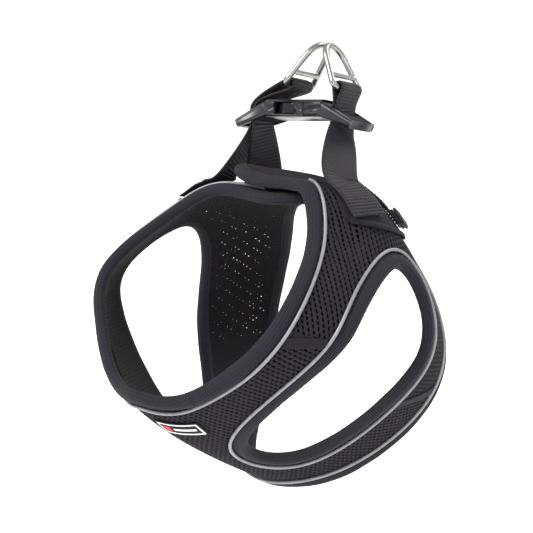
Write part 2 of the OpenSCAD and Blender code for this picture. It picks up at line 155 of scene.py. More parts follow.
def stepped(half, uv, direction, distance, count=6):
    """Moves surface coordinates a distance along the surface in a direction (unmirrored)."""
    q = np.array(uv, float)
    for _ in range(count):
        pu, pv = partial(half, q, 0), partial(half, q, 1)
        dot = lambda a, b: (a * b).sum(-1)
        uu, vv, uw = dot(pu, pu), dot(pv, pv), dot(pu, pv)
        det = uu * vv - uw * uw
        du = (vv * dot(direction, pu) - uw * dot(direction, pv)) / det
        dv = (uu * dot(direction, pv) - uw * dot(direction, pu)) / det
        q += np.stack([du, dv], -1) * distance / count
    return q


def hole_at(f):
    g = np.asarray(f, float) % 8
    i = np.floor(g).astype(int)
    return blend4([HOLE_CURVE[(i + k) % 8] for k in (-1, 0, 1, 2)], g - i)


def squared(c, power=0.6):
    return np.sign(c) * np.abs(c) ** power


def outline_at(half, s):
    """A half's outline at s, from the bottom line's start through neck, flap and girth edge."""
    s = np.asarray(s, float)
    a = -math.pi / 2 + math.pi * (np.clip(s, 2, 3) - 2)
    end = FLAP_END[half]
    flap_u = FLAP_START + (end - FLAP_START) * squared(np.cos(a))
    flap_v = 0.5 + 0.5 * squared(np.sin(a))
    u = np.select([s < 1, s < 2, s < 3], [0 * s, FLAP_START * (s - 1), flap_u], FLAP_START * (4 - s))
    v = np.select([s < 1, s < 2, s < 3], [1 - s, 0 * s, flap_v], 0 * s + 1)
    return np.stack([u, v], -1)


def inward(half, uv, side):
    """Unmirrored in-surface direction across a line of surface coordinates."""
    tangent = np.gradient(flat_surface(half, uv), axis=0)
    n = unit(np.cross(partial(half, uv, 1), partial(half, uv, 0)))
    return side * unit(np.cross(n, tangent))


def inset_line(half, line, side, distance):
    return stepped(half, line, inward(half, line, side), distance)


def spokes(half, turns, cols, inset):
    """Grid of surface coordinates from the leg hole to the outline, one row per turn."""
    turns = np.asarray(turns, float)
    fine = np.linspace(0, 8, 321)
    ring = inset_line(half, hole_at(fine), 1, inset)
    hole = np.stack([np.interp(turns % 8, fine, ring[:, k]) for k in (0, 1)], -1)
    wrapped = np.where(turns < 3.3, turns + 8, np.where(turns > 11.3, turns - 8, turns))
    s = np.interp(wrapped, *np.array(OUTLINE_BY_TURN).T)
    fine = np.linspace(1, 4, 481)
    edge = inset_line(half, outline_at(half, fine), -1, inset)
    edge[:, 0] = np.maximum(edge[:, 0], 0)
    out = np.stack([np.interp(s, fine, edge[:, k]) for k in (0, 1)], -1)
    low = edge[-1, 1] + (edge[0, 1] - edge[-1, 1]) * s
    out = np.where((s < 1)[:, None], np.stack([0 * s, low], -1), out)
    r = np.linspace(0, 1, cols)[None, :, None]
    return hole[:, None] * (1 - r) + out[:, None] * r


# ---------------------------------------------------------------- meshes
def add_object(name, points, faces, loop_uv, material):
    """A smooth-shaded object from millimetre points; faces is a list of index rows."""
    mesh = bpy.data.meshes.new(name)
    mesh.from_pydata((np.asarray(points).reshape(-1, 3) * MM).tolist(), [], faces)
    layer = mesh.uv_layers.new(name="UVMap")
    layer.data.foreach_set("uv", np.asarray(loop_uv, np.float32).ravel())
    mesh.polygons.foreach_set("use_smooth", [True] * len(mesh.polygons))
    mesh.update()
    mesh.materials.append(material)
    obj = bpy.data.objects.new(name, mesh)
    bpy.context.scene.collection.objects.link(obj)
    return obj


def ring_mesh(name, rings, uv, material, closed=False):
    """A tube through rings of points (n, m, 3); uv is (n + closed, m + 1, 2) in millimetres."""
    n, m = rings.shape[:2]
    i, j = np.meshgrid(np.arange(n - 1 + closed), np.arange(m), indexing="ij")
    at = lambda a, b: (a % n) * m + b % m
    quads = np.stack([at(i, j), at(i + 1, j), at(i + 1, j + 1), at(i, j + 1)], -1).reshape(-1, 4)
    loops = np.stack([uv[i, j], uv[i + 1, j], uv[i + 1, j + 1], uv[i, j + 1]], -2).reshape(-1, 2)
    faces = quads.tolist()
    if not closed:
        faces += [list(range(m)), [(n - 1) * m + k for k in reversed(range(m))]]
        loops = np.concatenate([loops, uv[0, :m], uv[-1, :m][::-1]])
    return add_object(name, rings, faces, loops, material)


def along(points):
    """Distance travelled at each point of a line."""
    return np.concatenate([[0], np.cumsum(np.linalg.norm(np.diff(points, axis=0), axis=1))])


def resampled(values, distance, step, closed=False):
    """Rows of values at even steps of distance."""
    count = max(4, round(distance[-1] / step))
    at = np.linspace(0, distance[-1], count + 1)[: count if closed else None]
    return np.stack([np.interp(at, distance, values[:, k]) for k in range(values.shape[1])], -1), at


def edge_line(half, line, step, closed=False):
    """Evenly spaced surface coordinates along an edge line, and their distances."""
    return resampled(line, along(surface(half, line)), step, closed)


def roll(name, half, line, side, inset, lift, section, material, step=0.8, closed=False, swell=None):
    """A tube that follows an edge of the cloth at an inset and a lift.

    section is (m, 2): across the edge, inwards positive, and outwards from the surface.
    swell(distance) scales the section along the roll.
    """
    line, at = edge_line(half, line, step, closed)
    mirror = np.array([SIDE[half], 1, 1])
    if closed:
        tangent = np.roll(flat_surface(half, line), -1, 0) - np.roll(flat_surface(half, line), 1, 0)
    else:
        tangent = np.gradient(flat_surface(half, line), axis=0)
    n = normal(half, line) * mirror
    across = side * unit(np.cross(n, tangent))
    centre = flat_surface(half, line) + inset * across + lift * n
    scale = np.ones(len(at)) if swell is None else swell(at)
    x, z = section[:, 0], section[:, 1]
    rings = (centre[:, None] + across[:, None] * (x[None, :, None] * scale[:, None, None])
             + n[:, None] * (z[None, :, None] * scale[:, None, None])) * mirror
    if side * SIDE[half] > 0:
        rings = rings[:, ::-1]
    loop = np.concatenate([section, section[:1]])
    if side * SIDE[half] > 0:
        loop = np.concatenate([section[::-1], section[-1:]])
    girth = along(loop)
    girth = np.minimum(girth, girth[-1] - girth)
    total = along(surface(half, line))[-1] if not closed else at[1] * len(at)
    u = np.append(at, total) if closed else at
    uv = np.stack(np.meshgrid(u, girth, indexing="ij"), -1)
    return ring_mesh(name, rings, uv, material, closed)


def ellipse(width, height, sides, lean=0.0):
    """A round section; lean moves its thickest place outwards from the cloth's edge."""
    a = np.linspace(0, 2 * math.pi, sides, endpoint=False)
    x, z = np.cos(a), np.sin(a)
    return np.stack([x * width / 2, z * height / 2 * (1 - lean * x)], -1)


class Flattened:
    """A panel's pattern laid flat: surface coordinates to plane millimetres and back.

    The grid's edges and diagonals keep their lengths as nearly as a least-squares fit allows,
    as when the panel is cut from flat cloth.
    """

    PASSES, DAMPING, SOFTNESS = 12, 0.8, 1e-4

    def __init__(self, half, turns, inset, up, mirrored=False, rows=24, cols=7):
        self.half, self.mirrored = half, mirrored
        pick = np.linspace(0, len(turns) - 1, rows)
        turns = np.interp(pick, np.arange(len(turns)), turns)
        grid = spokes(half, turns, cols, inset)
        p = flat_surface(half, grid)
        u_fine = np.linspace(-0.5, 7.2, 200)
        length = np.interp(grid[..., 0], u_fine, along(spline(CURVES[1], u_fine)))
        length -= np.interp(0, u_fine, along(spline(CURVES[1], u_fine)))
        start = np.stack([length, p @ np.array(up)], -1).reshape(-1, 2)
        self.grid, self.points = grid, p
        self.flat = self.relaxed(start, rows, cols)
        self.make_tree(rows, cols)

    def relaxed(self, start, rows, cols):
        at = np.arange(rows * cols).reshape(rows, cols)
        pairs = np.concatenate([np.stack([a.ravel(), b.ravel()], -1) for a, b in (
            (at[1:], at[:-1]), (at[:, 1:], at[:, :-1]), (at[1:, 1:], at[:-1, :-1]),
            (at[1:, :-1], at[:-1, 1:]))])
        p = self.points.reshape(-1, 3)
        goal = np.linalg.norm(p[pairs[:, 0]] - p[pairs[:, 1]], axis=1)
        centre = np.flatnonzero(self.grid.reshape(-1, 2)[:, 0] < 1e-6) if self.mirrored else []
        x, n, rows_of = start.copy(), len(start), np.arange(len(pairs))
        for _ in range(self.PASSES):
            d = x[pairs[:, 0]] - x[pairs[:, 1]]
            size = np.maximum(np.linalg.norm(d, axis=1), 1e-6)
            jac = np.zeros((len(pairs) + len(centre), 2 * n))
            for k in (0, 1):
                jac[rows_of, 2 * pairs[:, 0] + k] = d[:, k] / size / goal
                jac[rows_of, 2 * pairs[:, 1] + k] = -d[:, k] / size / goal
            for r, c in enumerate(centre):
                jac[len(pairs) + r, 2 * c] = 1
            miss = np.concatenate([1 - size / goal, -x[centre, 0] if len(centre) else []])
            system = jac.T @ jac + self.SOFTNESS * np.eye(2 * n)
            x += self.DAMPING * np.linalg.solve(system, jac.T @ miss).reshape(-1, 2)
        return x

    def make_tree(self, rows, cols):
        at = np.arange(rows * cols).reshape(rows, cols)
        a, b, c, d = (g.ravel() for g in (at[:-1, :-1], at[1:, :-1], at[1:, 1:], at[:-1, 1:]))
        self.tris = np.concatenate([np.stack([a, b, c], -1), np.stack([a, c, d], -1)])
        verts = [(x, y, 0) for x, y in self.flat]
        self.tree = BVHTree.FromPolygons(verts, self.tris.tolist(), all_triangles=True)

    def area(self):
        a, b, c = (self.flat[self.tris[:, k]] for k in range(3))
        ab, ac = b - a, c - a
        one_side = np.abs(ab[:, 0] * ac[:, 1] - ab[:, 1] * ac[:, 0]).sum() / 2
        return float(one_side * (2 if self.mirrored else 1))

    def size(self):
        low, high = self.flat.min(0), self.flat.max(0)
        return (high - low) * np.array([2 if self.mirrored else 1, 1])

    def locate(self, xy):
        """Surface coordinates of plane points, whether each lies on the panel, and its sign."""
        sign = np.where(xy[:, 0] < 0, -1, 1) if self.mirrored else np.ones(len(xy))
        q = xy * np.stack([sign, np.ones(len(xy))], -1)
        cast, down = self.tree.ray_cast, Vector((0, 0, -1))
        found = np.array([-1 if (h := cast(Vector((x, y, 1)), down)[2]) is None else h for x, y in q])
        ok = found >= 0
        tri = self.tris[np.maximum(found, 0)]
        a, b, c = (self.flat[tri[:, k]] for k in range(3))
        area = lambda p, r, s: ((r[:, 0] - p[:, 0]) * (s[:, 1] - p[:, 1])
                                - (r[:, 1] - p[:, 1]) * (s[:, 0] - p[:, 0]))
        whole = area(a, b, c)
        w = np.stack([area(q, b, c), area(a, q, c), area(a, b, q)], -1) / whole[:, None]
        uv = (self.grid.reshape(-1, 2)[tri] * w[..., None]).sum(1)
        return uv, ok, sign


def largest_island(quads, count):
    """Which faces belong to the biggest connected part of a mesh."""
    label = np.arange(count)
    while True:
        low = label[quads].min(1)
        new = label.copy()
        np.minimum.at(new, quads, np.repeat(low[:, None], 4, 1))
        new = new[new]
        if (new == label).all():
            break
        label = new
    return label[quads[:, 0]] == np.bincount(label[quads[:, 0]]).argmax()


CELL_CORNERS = 12
KEYS_PER_MM = 500          # points of neighbouring cells closer than this are one point


def honeycomb(name, panel, pitch, turn, rings, material, opening=None):
    """A knit net of six-sided cells over a flattened panel.

    rings is a list of (share, radius across, radius along, height): share 1 is the cell's own
    border, and the others are ovals inside it. Cells that leave the panel lose those faces.
    opening(cells) scales each cell's innermost oval.
    """
    low, high = panel.flat.min(0) - pitch, panel.flat.max(0) + pitch
    if panel.mirrored:
        low[0] = -high[0]
    centre, reach = (low + high) / 2, np.linalg.norm(high - low) / 2
    row = pitch * math.sqrt(3) / 2
    k = int(reach / row) + 2
    i, j = np.meshgrid(np.arange(-k, k + 1), np.arange(-k, k + 1), indexing="ij")
    cells = np.stack([(i + 0.5 * (j % 2)) * pitch, j * row], -1).reshape(-1, 2)
    c, s = math.cos(turn), math.sin(turn)
    spin = np.array([[c, s], [-s, c]])
    placed = cells @ spin + centre
    _, ok, _ = panel.locate(placed)
    cells = cells[ok]
    corner = np.arange(CELL_CORNERS)
    a = np.radians(corner * 360 / CELL_CORNERS)
    radius = np.where(corner % 2 == 1, pitch / math.sqrt(3), pitch / 2)
    border = radius[:, None] * np.stack([np.cos(a), np.sin(a)], -1)
    sets = []
    for k, (share, across, length, _) in enumerate(rings):
        oval = np.stack([across * np.cos(a), length * np.sin(a)], -1)
        scale = np.ones(len(cells)) if opening is None or k < len(rings) - 1 else opening(cells)
        sets.append(cells[:, None] + border * share + oval * (1 - share) * scale[:, None, None])
    local = np.stack(sets, 1)          # cells, rings, corners, 2
    heights = np.broadcast_to(np.array([r[3] for r in rings])[None, :, None], local.shape[:3])
    flat = local.reshape(-1, 2)
    keys = np.concatenate([np.round(flat * KEYS_PER_MM), np.round(heights.reshape(-1, 1) * KEYS_PER_MM)], 1)
    keys = keys.astype(np.int64)
    _, first, back = np.unique(keys, axis=0, return_index=True, return_inverse=True)
    back = back.ravel()
    plane = flat[first] @ spin + centre
    uv, ok, sign = panel.locate(plane)
    height = heights.reshape(-1)[first]
    p = surface(panel.half, uv, height)
    p[:, 0] *= sign
    index = back.reshape(local.shape[:3])
    nxt = np.roll(index, -1, 2)
    quads = np.stack([index[:, :-1], nxt[:, :-1], nxt[:, 1:], index[:, 1:]], -1).reshape(-1, 4)
    quads = quads[ok[quads].all(1)]
    quads = quads[largest_island(quads, len(p))]
    used = np.unique(quads)
    renumber = np.full(len(p), -1)
    renumber[used] = np.arange(len(used))
    if SIDE[panel.half] < 0:
        quads = quads[:, ::-1]
    uv_loops = flat[first][quads.ravel()]
    return add_object(name, p[used], renumber[quads].tolist(), uv_loops, material)


# ---------------------------------------------------------------- materials
def nodes_of(name, color, rough, **sockets):
    """A material, its node tree and its shader, with the shader's plain inputs set."""
    mat = bpy.data.materials.new(name)
    mat.use_nodes = True
    tree = mat.node_tree
    shader = tree.nodes["Principled BSDF"]
    shader.inputs["Base Color"].default_value = (*color, 1)
    shader.inputs["Roughness"].default_value = rough
    for key, value in sockets.items():
        shader.inputs[key.replace("_", " ")].default_value = value
    return mat, tree, shader


def make(tree, kind, settings=(), **inputs):
    """A node with its properties and inputs, by name or as i0, i1 and so on.

    An input is a value or another node's output.
    """
    node = tree.nodes.new(kind)
    for key, value in dict(settings).items():
        setattr(node, key, value)
    for key, value in inputs.items():
        numbered = key[0] == "i" and key[1:].isdigit()
        socket = node.inputs[int(key[1:]) if numbered else key.replace("_", " ")]
        if isinstance(value, bpy.types.NodeSocket):
            tree.links.new(value, socket)
        else:
            socket.default_value = value
    return node


def math_node(tree, operation, a, b=0.0):
    return make(tree, "ShaderNodeMath", {"operation": operation}, i0=a, i1=b).outputs[0]


def cloth_uv(tree):
    """Distances along and across the cloth, in millimetres."""
    uv = make(tree, "ShaderNodeUVMap", {"uv_map": "UVMap"}).outputs[0]
    return make(tree, "ShaderNodeSeparateXYZ", i0=uv).outputs[:2]


def stripes(tree, coordinate, pitch, phase=0.0):
    """0 to 1 across each thread of the given pitch in millimetres."""
    angle = math_node(tree, "MULTIPLY", coordinate, 2 * math.pi / pitch)
    wave = math_node(tree, "SINE", math_node(tree, "ADD", angle, phase))
    return math_node(tree, "MULTIPLY_ADD", wave, 0.5)


def noise(tree, scale, detail):
    """Noise over the object, from 0 to 1."""
    node = make(tree, "ShaderNodeTexNoise", Scale=scale, Detail=detail)
    tree.links.new(make(tree, "ShaderNodeTexCoord").outputs["Object"], node.inputs["Vector"])
    return node.outputs["Fac"]


def toned(tree, shader, factor, dark, light):
    """Base colour from dark to light by a 0 to 1 factor."""
    ramp = make(tree, "ShaderNodeMix", {"data_type": "RGBA"})
    tree.links.new(factor, ramp.inputs[0])
    ramp.inputs[6].default_value = (*dark, 1)
    ramp.inputs[7].default_value = (*light, 1)
    tree.links.new(ramp.outputs[2], shader.inputs["Base Color"])


def bumped(tree, shader, height, depth_mm, strength=1.0):
    bump = make(tree, "ShaderNodeBump", Strength=strength, Distance=depth_mm * MM, Height=height)
    tree.links.new(bump.outputs[0], shader.inputs["Normal"])


def knit(name, dark, light, pitch, depth, rough=0.85, sheen=0.03, wear=0.5, twill=0.0, phase=0.0):
    """A knit or woven cloth: two thread directions, fuzz, and slow variation in tone; the colour is darkest
    in the threads' valleys, the weave's pattern with painted shade in its grooves.

    pitch is the threads' spacing along and across and depth their relief, in millimetres; wear is
    the slow variation's share of the tone.
    """
    mat, tree, shader = nodes_of(name, light, rough, Sheen_Weight=sheen, Sheen_Roughness=0.45,
                                 Specular_IOR_Level=0.16)
    u, v = cloth_uv(tree)
    slanted = math_node(tree, "MULTIPLY_ADD", v, twill)
    tree.links.new(u, slanted.node.inputs[2])
    warp = stripes(tree, slanted, pitch[0], phase)
    weft = stripes(tree, v, pitch[1])
    both = math_node(tree, "MULTIPLY_ADD", warp, 0.65)
    tree.links.new(math_node(tree, "MULTIPLY", weft, 0.35), both.node.inputs[2])
    fuzz = noise(tree, 2600.0, 2.0)
    threads = math_node(tree, "MULTIPLY_ADD", fuzz, 0.5)
    tree.links.new(both, threads.node.inputs[2])
    slow = noise(tree, 55.0, 4.0)
    tone = math_node(tree, "MULTIPLY_ADD", slow, wear)
    tree.links.new(math_node(tree, "MULTIPLY", threads, 1 - wear), tone.node.inputs[2])
    # The base colour follows the thread relief, so the grooves between threads are darker: the weave's
    # pattern and painted shade.
    toned(tree, shader, tone, dark, light)
    bumped(tree, shader, threads, depth)
    return mat


def reflective(name):
    """Retroreflective piping: a pale grey skin of fine glass beads, a little scuffed."""
    mat, tree, shader = nodes_of(name, (0.4, 0.41, 0.43), 0.42, Metallic=0.15, Specular_IOR_Level=0.6)
    beads = make(tree, "ShaderNodeTexVoronoi", Scale=2600.0)
    tree.links.new(make(tree, "ShaderNodeTexCoord").outputs["Object"], beads.inputs["Vector"])
    scuff = noise(tree, 240.0, 5.0)
    toned(tree, shader, scuff, (0.13, 0.13, 0.14), (0.24, 0.245, 0.262))
    bumped(tree, shader, beads.outputs["Distance"], 0.05, 0.6)
    return mat


def plastic(name, tint, rough=0.34):
    """Moulded black plastic: glossy, with a faint orange peel and hairline scratches."""
    mat, tree, shader = nodes_of(name, tint, rough, Specular_IOR_Level=0.4, Coat_Weight=0.05,
                                 Coat_Roughness=0.2)
    peel = noise(tree, 420.0, 2.0)
    scratch = noise(tree, 90.0, 6.0)
    toned(tree, shader, scratch, tuple(0.75 * c for c in tint), tuple(1.5 * c for c in tint))
    rough_map = make(tree, "ShaderNodeMapRange", i0=scratch, i1=0.3, i2=0.75,
                     i3=rough * 0.8, i4=rough * 1.5)
    tree.links.new(rough_map.outputs[0], shader.inputs["Roughness"])
    bumped(tree, shader, peel, 0.03, 0.5)
    return mat


def nickel(name):
    """Satin nickel plate with soft polishing marks and slight tarnish."""
    mat, tree, shader = nodes_of(name, (0.42, 0.41, 0.39), 0.3, Metallic=1.0)
    cloud = noise(tree, 130.0, 5.0)
    toned(tree, shader, cloud, (0.2, 0.193, 0.183), (0.38, 0.368, 0.35))
    fine = noise(tree, 1500.0, 3.0)
    rough_map = make(tree, "ShaderNodeMapRange", i0=fine, i1=0.3, i2=0.7, i3=0.24, i4=0.4)
    tree.links.new(rough_map.outputs[0], shader.inputs["Roughness"])
    bumped(tree, shader, fine, 0.02, 0.35)
    return mat


MESH = knit("air_mesh", (0.002, 0.0016, 0.0024), (0.021, 0.0185, 0.0235), (0.55, 0.7), 0.16, wear=0.35)
LINING = knit("lining_knit", (0.0015, 0.0012, 0.0015), (0.008, 0.0066, 0.0082), (1.1, 0.6), 0.12)
BINDING = knit("binding_knit", (0.0015, 0.0013, 0.002), (0.019, 0.0175, 0.0235), (0.95, 1.6), 0.25,
               wear=0.25)
PIPING = reflective("reflective_piping")
TAPE = knit("seam_tape", (0.003, 0.0026, 0.0036), (0.014, 0.0128, 0.016), (0.6, 0.6), 0.1)
PATCH = knit("strap_patch_weave", (0.002, 0.0018, 0.0025), (0.0105, 0.0095, 0.012), (0.5, 0.5), 0.08,
             twill=0.6)
# The warp stripes are shifted a quarter turn so the webbing's colour is darkest in the grooves between its
# ribs: painted shade in those grooves.
WEBBING = knit("nylon_webbing", (0.0015, 0.0012, 0.0018), (0.021, 0.0185, 0.023), (RIB_PITCH, 0.62), 0.08,
               rough=0.6, wear=0.3, phase=-math.pi / 2)
THREAD = knit("thread", (0.008, 0.008, 0.009), (0.035, 0.035, 0.038), (0.5, 0.4), 0.05,
              rough=0.6, sheen=0.05)
LOOP = knit("loop_pile", (0.006, 0.006, 0.007), (0.03, 0.03, 0.033), (0.4, 0.35), 0.35, sheen=0.2)
LABEL_BLACK = knit("label_field", (0.004, 0.004, 0.005), (0.012, 0.012, 0.014), (0.35, 0.35), 0.05,
                   sheen=0.02)
LABEL_WHITE = knit("label_white", (0.55, 0.55, 0.56), (0.85, 0.85, 0.86), (0.35, 0.35), 0.05, sheen=0.1)
LABEL_RED = knit("label_red", (0.35, 0.03, 0.03), (0.6, 0.06, 0.05), (0.35, 0.35), 0.05, sheen=0.1)
BUCKLE = plastic("buckle_plastic", (0.008, 0.008, 0.010))
ARM = plastic("buckle_arm_plastic", (0.006, 0.006, 0.008), 0.12)
NICKEL = nickel("satin_nickel")


# ---------------------------------------------------------------- pieces
def done(obj, body, slot, *nodes):
    """Rides a piece on its body, or bakes in the transform of a piece across the chest line, and hides the
    CAD parts it replaces.
    """
    if body == WHOLE:
        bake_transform(obj)
    else:
        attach(obj, BODY.get(body, body))
    if nodes:
        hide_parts(*nodes)
    return obj


def both(*names):
    return [f"{half}_{name}" for half in (NEAR, FAR) for name in names]


SEAM_LAP = 0.06
SIDE_TURNS = np.linspace(FRONT_SEAM - SEAM_LAP, REAR_SEAM + SEAM_LAP, 60)
CHEST_TURNS = np.linspace(REAR_SEAM - SEAM_LAP, FRONT_SEAM + 8 + SEAM_LAP, 60)
panels = {
    NEAR: Flattened(NEAR, SIDE_TURNS, CLOTH_INSET, (0, 1, 0)),
    FAR: Flattened(FAR, SIDE_TURNS, CLOTH_INSET, (0, 1, 0)),
    WHOLE: Flattened(NEAR, CHEST_TURNS, CLOTH_INSET, (0, 0.79, -0.61), mirrored=True),
}
NET_PITCH, LINING_PITCH = 2.75, 2.4
NET_RINGS = [
    (1, 0, 0, PANEL_T / 2), (0.5, 1.08, 0.54, PANEL_T / 2 - 0.1),
    (0, 1.12, 0.5, PANEL_T / 2 - 0.4), (0, 1.14, 0.54, PANEL_T / 2 - 0.95),
]
LINING_RINGS = [
    (1, 0, 0, LINING_H), (0.3, 0.5, 0.5, LINING_H + 0.05), (0, 0.34, 0.34, LINING_H + 0.25),
]
SIDE_NET_TURN, CHEST_NET_TURN = 0.3, 1.2            # directions of the rows, in radians
SIDE_LINING_TURN, CHEST_LINING_TURN = 0.6, 0.2


def mesh_panel(name, key, turn, *nodes):
    panel = panels[key]
    net = honeycomb(name, panel, NET_PITCH, turn, NET_RINGS, MESH)
    done(net, key, "mesh", *nodes)
    tuple(panel.size() * MM)
    panel.area() * MM * MM


def stretched_open(cells):
    """The lining's perforations: nearly shut, and a little open in slow patches."""
    slow = np.sin(cells[:, 0] / 9 + 0.8) + np.sin(cells[:, 1] / 7 + cells[:, 0] / 23 + 2.0)
    return 0.28 + 0.42 * ease((slow + 0.4) / 1.6)


def shut(cells):
    """The lining's perforations where no light comes through."""
    return np.full(len(cells), 0.06)


def lining_panel(name, key, turn, *nodes):
    panel = panels[key]
    opening = stretched_open if key == FAR else shut
    cloth = honeycomb(name, panel, LINING_PITCH, turn, LINING_RINGS, LINING, opening)
    done(cloth, key, "lining", *nodes)
    tuple(panel.size() * MM)
    panel.area() * MM * MM


for half in (NEAR, FAR):
    mesh_panel(f"{half}_side_mesh", half, SIDE_NET_TURN, f"{half}_side_panel")
    lining_panel(f"{half}_side_lining", half, SIDE_LINING_TURN, f"{half}_lining")
mesh_panel("chest_mesh", WHOLE, CHEST_NET_TURN, *both("chest_panel"))
lining_panel("chest_lining", WHOLE, CHEST_LINING_TURN)

# Puffed binding along every edge
BINDING_SECTION = ellipse(BINDING_W, BINDING_T, 20, lean=0.22)
PIPING_SECTION = ellipse(PIPING_D, PIPING_D, 10)
MIDDLE_U = 1.2                                     # where the middle pieces meet each half's own
MIDDLE_LAP = 0.04
PIPING_END = {NEAR: 5.1, FAR: 5.9}                 # where the edge piping stops, before the flap
SEWING_PITCH = 3.2


def puckered(at):
    """Slow swelling of a stuffed roll, with the small pull of each stitch."""
    return (1 + 0.025 * np.sin(at / 9.0) + 0.012 * np.sin(at / 3.1)
            + 0.012 * np.abs(np.sin(at * math.pi / SEWING_PITCH)))


def bar(u0, u1, v, count=120):
    """A line of surface coordinates along an edge, where v stays the same."""
    return np.stack([np.linspace(u0, u1, count), np.full(count, float(v))], -1)


def half_edge(half):
    """The outline of one half from the neck's middle piece round the flap to the girth's."""
    flap = outline_at(half, np.linspace(2, 3, 161))
    return np.concatenate([bar(MIDDLE_U, FLAP_START, 0)[:-1], flap, bar(FLAP_START, MIDDLE_U, 1)[1:]])


def binding(name, half, line, side, body, nodes, closed=False):
    obj = roll(name, half, line, side, BINDING_W / 2, 0, BINDING_SECTION, BINDING, 0.8, closed, puckered)
    done(obj, body, "binding", *nodes)


def piping(name, half, line, side, body, nodes, closed=False):
    seam = inset_line(half, line, side, PIPING_INSET)
    obj = roll(name, half, seam, side, 0, PIPING_LIFT, PIPING_SECTION, PIPING, 1.0, closed)
    done(obj, body, "piping", *nodes)


for half in (NEAR, FAR):
    binding(f"{half}_edge_binding", half, half_edge(half), -1, half,
            [f"{half}_neck_binding", f"{half}_flap_binding", f"{half}_girth_binding"])
    hole = hole_at(np.linspace(0, 8, 400))
    binding(f"{half}_leg_hole_binding", half, hole, 1, half, [f"{half}_leg_binding"], closed=True)
    piping(f"{half}_leg_hole_piping", half, hole, 1, half, [f"{half}_leg_piping"], closed=True)
    neck_run, girth_run = bar(MIDDLE_U, PIPING_END[half], 0), bar(PIPING_END[half], MIDDLE_U, 1)
    piping(f"{half}_neck_edge_piping", half, neck_run, -1, half, [f"{half}_neck_piping"])
    piping(f"{half}_girth_edge_piping", half, girth_run, -1, half, [f"{half}_girth_piping"])
for word, v, u in (("neck", 0, MIDDLE_U + MIDDLE_LAP), ("girth", 1, -MIDDLE_U - MIDDLE_LAP)):
    binding(f"chest_{word}_binding", WHOLE, bar(-u, u, v), -1, WHOLE, both(f"{word}_binding"))
    piping(f"chest_{word}_piping", WHOLE, bar(-u, u, v), -1, WHOLE, both(f"{word}_piping"))


def slab(name, half, columns, low, thick, material, round_mm=0.8):
    """A flat piece on the cloth from a grid of surface coordinates (n, m, 2), edges rounded over."""
    n, m = columns.shape[:2]
    p = surface(half, columns)
    width = along(p[n // 2])
    length = along(p[:, m // 2])
    fall = lambda d: np.sqrt(np.clip(1 - (1 - np.clip(d / round_mm, 0, 1)) ** 2, 0, 1))
    edge = np.minimum(fall(width), fall(width[-1] - width))[None] * np.minimum(
        fall(length), fall(length[-1] - length))[:, None]
    middle = low + thick / 2
    top = surface(half, columns, middle + edge * thick / 2)
    bottom = surface(half, columns, middle - edge * thick / 2)
    rings = np.concatenate([top, bottom[:, ::-1]], 1)
    across = np.concatenate([width, width[::-1]])
    uv = np.stack(np.meshgrid(length, np.append(across, across[0]), indexing="ij"), -1)
    if SIDE[half] > 0:
        rings, uv = rings[:, ::-1], uv[:, ::-1]
    return ring_mesh(name, rings, uv, material)


def rectangle(lo, hi, n, m):
    """Grid of surface coordinates between two corners, closer together near its borders."""
    even = lambda k: 0.5 - 0.5 * np.cos(np.pi * np.linspace(0, 1, k))
    u = lo[0] + (hi[0] - lo[0]) * even(n)
    v = lo[1] + (hi[1] - lo[1]) * even(m)
    return np.stack(np.meshgrid(u, v, indexing="ij"), -1)


THREAD_RINGS, THREAD_SIDES = 5, 6
THREAD_PITCH, THREAD_L, THREAD_R = 2.6, 1.8, 0.24


def stitches(name, half, lines, height):
    """Rows of short arched threads along lines of surface coordinates."""
    s = np.linspace(-0.5, 0.5, THREAD_RINGS)
    a = np.radians(np.arange(THREAD_SIDES) * 360 / THREAD_SIDES)
    lift = THREAD_R * (1 - (2 * s) ** 2) - THREAD_R * 0.6
    fat = THREAD_R * np.sqrt(np.clip(1.08 - (2 * s) ** 4, 0.08, 1))
    rings = []
    for line in lines:
        even, _ = edge_line(half, np.asarray(line, float), THREAD_PITCH)
        p = surface(half, even, height)
        n, t = normal(half, even), unit(np.gradient(p, axis=0))
        side = np.cross(n, t)
        centre = p[:, None] + t[:, None] * (s * THREAD_L)[None, :, None] + n[:, None] * lift[None, :, None]
        ring = (centre[:, :, None] + side[:, None, None] * (np.cos(a) * fat[:, None])[None, ..., None]
                + n[:, None, None] * (np.sin(a) * fat[:, None])[None, ..., None])
        rings.append(ring)
    rings = np.concatenate(rings)
    starts = np.arange(len(rings)) * THREAD_RINGS * THREAD_SIDES
    i, j = np.meshgrid(np.arange(THREAD_RINGS - 1), np.arange(THREAD_SIDES), indexing="ij")
    at = lambda ring, corner: ring * THREAD_SIDES + corner % THREAD_SIDES
    quad = np.stack([at(i, j), at(i + 1, j), at(i + 1, j + 1), at(i, j + 1)], -1)
    faces = (starts[:, None, None, None] + quad[None]).reshape(-1, 4).tolist()
    for start in starts.tolist():
        faces.append([start + x for x in range(THREAD_SIDES)])
        faces.append([start + at(THREAD_RINGS - 1, x) for x in reversed(range(THREAD_SIDES))])
    corners = sum(len(f) for f in faces)
    uv = np.stack([np.arange(corners) * 0.1, np.zeros(corners)], -1)
    done(add_object(name, rings, faces, uv, THREAD), half, "webbing")


# Tapes over the seams between chest and side panels
TAPE_HALF_W, TAPE_T = 2.4, 0.9
for half in (NEAR, FAR):
    for word, turn in (("front", FRONT_SEAM), ("rear", REAR_SEAM)):
        middle = spokes(half, [turn], 30, PIPING_INSET + 0.6)[0]
        ahead = inward(half, middle, 1)
        offsets = np.linspace(-TAPE_HALF_W, TAPE_HALF_W, 13)
        columns = np.stack([stepped(half, middle, ahead, d, 2) for d in offsets], 1)
        tape = slab(f"{half}_{word}_seam", half, columns, SEAM_LIFT - 0.2, TAPE_T, TAPE, 0.9)
        done(tape, half, "tape", f"{half}_{word}_seam_tape")

